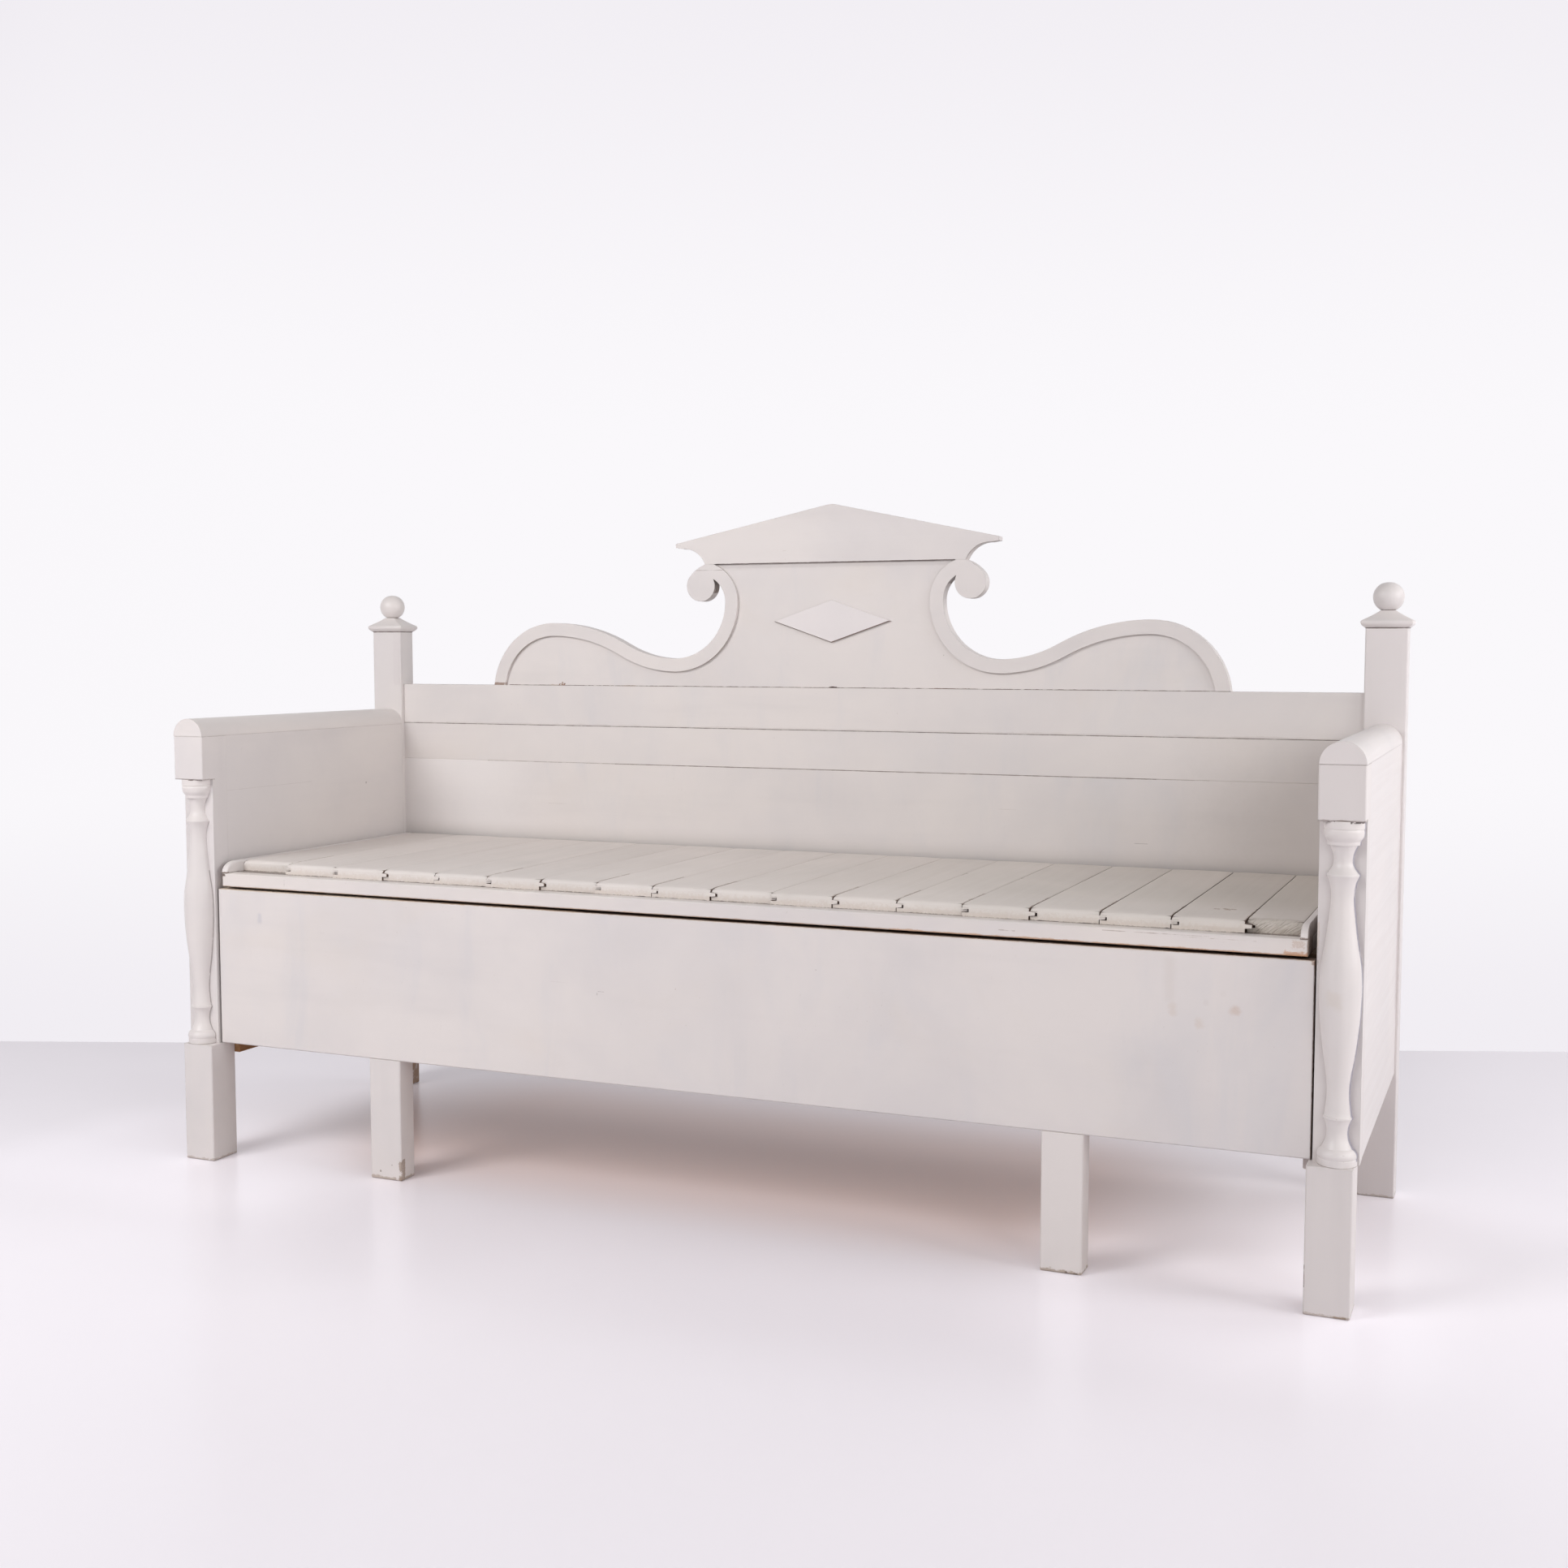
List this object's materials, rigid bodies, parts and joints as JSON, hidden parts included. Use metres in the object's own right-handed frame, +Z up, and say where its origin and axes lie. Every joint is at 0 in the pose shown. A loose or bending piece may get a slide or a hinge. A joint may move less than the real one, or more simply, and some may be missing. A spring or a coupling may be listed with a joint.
{
  "type": "swedish pull out bench bed",
  "caption": "Painted pull-out bench bed: panelled arms with split turned columns, scrolled pediment crest, hinged board seat over a slatted bed that slides out on its own legs.",
  "frame": {"origin": "on the floor, under the middle of the overall box", "axes": "+X to the bench's right as seen from the front, +Y towards the back, +Z up; the front faces -Y"},
  "size_m": [1.889, 0.6036, 1.0901],
  "materials": {
    "painted_wood": "satin oil paint, warm off-white, worn at the edges",
    "bare_wood": "bare aged pine, matt",
    "iron": "dark wrought iron"
  },
  "bodies": {
    "frame": {"front_post_left": "painted_wood", "front_post_right": "painted_wood", "half_columns": "painted_wood", "arm_cap_left": "painted_wood", "arm_cap_right": "painted_wood", "arm_inner_panel_left": "painted_wood", "arm_inner_panel_right": "painted_wood", "arm_outer_panel_left": "painted_wood", "arm_outer_panel_right": "painted_wood", "rear_post_left": "painted_wood", "rear_post_right": "painted_wood", "post_cap_left": "painted_wood", "post_cap_right": "painted_wood", "ball_finials": "painted_wood", "back_top_rail": "painted_wood", "back_upper_board": "painted_wood", "back_lower_board": "painted_wood", "crest_board": "painted_wood", "crest_scroll_left": "painted_wood", "crest_scroll_right": "painted_wood", "crest_pediment": "painted_wood", "crest_lozenge": "painted_wood", "side_rails": "bare_wood", "seat_cleats": "bare_wood", "back_bottom_rail": "bare_wood", "fixed_slats": "bare_wood", "slat_bearers": "bare_wood", "lid_pivot_pins": "iron"},
    "bed": {"bed_front_board": "painted_wood", "middle_leg_left": "painted_wood", "middle_leg_right": "painted_wood", "bed_side_left": "bare_wood", "bed_side_right": "bare_wood", "bed_slats": "bare_wood", "bed_bearer": "bare_wood", "bed_stop_batten": "bare_wood"},
    "lid": {"lid_front_rail": "painted_wood", "lid_rear_rail": "bare_wood", "lid_end_batten_left": "painted_wood", "lid_end_batten_right": "painted_wood", "lid_board_01": "painted_wood", "lid_board_02": "painted_wood", "lid_board_03": "painted_wood", "lid_board_04": "painted_wood", "lid_board_05": "painted_wood", "lid_board_06": "painted_wood", "lid_board_07": "painted_wood", "lid_board_08": "painted_wood", "lid_board_09": "painted_wood", "lid_board_10": "painted_wood", "lid_board_11": "painted_wood", "lid_board_12": "painted_wood", "lid_board_13": "painted_wood", "lid_board_14": "painted_wood", "lid_board_15": "painted_wood", "lid_board_16": "painted_wood", "lid_board_17": "painted_wood", "lid_board_18": "painted_wood"}
  },
  "joints": [
    {"name": "bed_slide", "type": "slide", "parent": "frame", "child": "bed", "axis": [0, -1, 0], "range_m": [0, 0.368]},
    {"name": "lid_hinge", "type": "hinge", "parent": "frame", "child": "lid", "pos_m": [0, 0.23825, 0.4766], "axis": [-1, 0, 0], "range_deg": [0, 90.8]}
  ]
}
